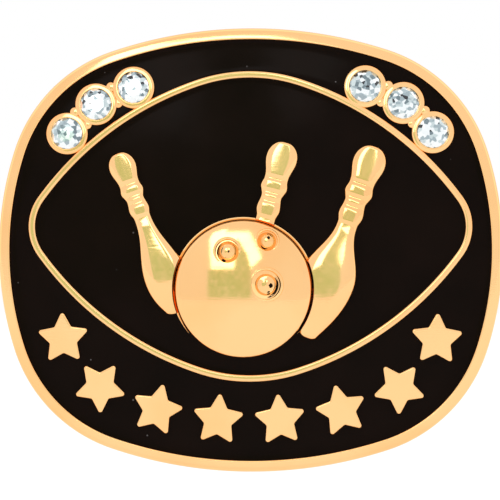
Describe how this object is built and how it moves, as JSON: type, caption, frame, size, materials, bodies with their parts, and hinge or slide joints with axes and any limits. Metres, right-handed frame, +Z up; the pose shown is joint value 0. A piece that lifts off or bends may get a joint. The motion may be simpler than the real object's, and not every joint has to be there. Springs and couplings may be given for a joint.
{
  "type": "bowling award pin",
  "caption": "Gold-plated bowling award lapel pin: enamelled badge with ball, pins and rhinestones in relief, held on cloth by two posts with sliding butterfly clutches.",
  "frame": {"origin": "centre of the badge's outline on the flat back face, where it rests on the cloth", "axes": "+X across the badge, to the right as its decorated front is seen; +Z up as it is worn; +Y out of the back, along the posts, so the decorated front looks along -Y"},
  "size_m": [0.0318, 0.0114, 0.0278],
  "materials": {
    "gold_plate": "die-cast zinc alloy, polished and plated in gold colour",
    "black_enamel": "glossy soft enamel",
    "crystal": "faceted clear rhinestone",
    "silver_foil": "silver foil on the stone's back",
    "clear_cement": "cured clear cement",
    "post_brass": "plated with the badge",
    "solder": "soft solder, plated over",
    "clutch_brass": "stamped brass, bright dipped",
    "spring_steel": "thin spring strip"
  },
  "bodies": {
    "badge": {"badge_body": "gold_plate", "enamel_border": "black_enamel", "enamel_center": "black_enamel", "rhinestone_left_1": "crystal", "rhinestone_left_2": "crystal", "rhinestone_left_3": "crystal", "rhinestone_right_1": "crystal", "rhinestone_right_2": "crystal", "rhinestone_right_3": "crystal", "foil_left_1": "silver_foil", "foil_left_2": "silver_foil", "foil_left_3": "silver_foil", "foil_right_1": "silver_foil", "foil_right_2": "silver_foil", "foil_right_3": "silver_foil", "stone_cement": "clear_cement", "post_left": "post_brass", "post_right": "post_brass", "solder_left": "solder", "solder_right": "solder"},
    "clutch_left": {"clutch_disc_left": "clutch_brass", "clutch_spring_left": "spring_steel", "clutch_housing_left": "clutch_brass"},
    "jaw_inner_left": {"clutch_jaw_inner_left": "clutch_brass"},
    "jaw_outer_left": {"clutch_jaw_outer_left": "clutch_brass"},
    "clutch_right": {"clutch_disc_right": "clutch_brass", "clutch_spring_right": "spring_steel", "clutch_housing_right": "clutch_brass"},
    "jaw_inner_right": {"clutch_jaw_inner_right": "clutch_brass"},
    "jaw_outer_right": {"clutch_jaw_outer_right": "clutch_brass"}
  },
  "joints": [
    {"name": "clutch_left_slide", "type": "slide", "parent": "badge", "child": "clutch_left", "axis": [0, 1, 0], "range_m": [-0.0019, 0.009]},
    {"name": "jaw_inner_left_pinch", "type": "slide", "parent": "clutch_left", "child": "jaw_inner_left", "axis": [1, 0, 0], "range_m": [0, 0.0006], "stiffness_N_per_m": 1000, "springref_m": -0.0003},
    {"name": "jaw_outer_left_pinch", "type": "slide", "parent": "clutch_left", "child": "jaw_outer_left", "axis": [-1, 0, 0], "range_m": [0, 0.0006], "stiffness_N_per_m": 1000, "springref_m": -0.0003},
    {"name": "clutch_right_slide", "type": "slide", "parent": "badge", "child": "clutch_right", "axis": [0, 1, 0], "range_m": [-0.0019, 0.009]},
    {"name": "jaw_inner_right_pinch", "type": "slide", "parent": "clutch_right", "child": "jaw_inner_right", "axis": [1, 0, 0], "range_m": [0, 0.0006], "stiffness_N_per_m": 1000, "springref_m": -0.0003},
    {"name": "jaw_outer_right_pinch", "type": "slide", "parent": "clutch_right", "child": "jaw_outer_right", "axis": [-1, 0, 0], "range_m": [0, 0.0006], "stiffness_N_per_m": 1000, "springref_m": -0.0003}
  ],
  "couplings": [
    {"joint": "jaw_outer_left_pinch", "follows": "jaw_inner_left_pinch", "ratio": 1},
    {"joint": "jaw_outer_right_pinch", "follows": "jaw_inner_right_pinch", "ratio": 1}
  ]
}
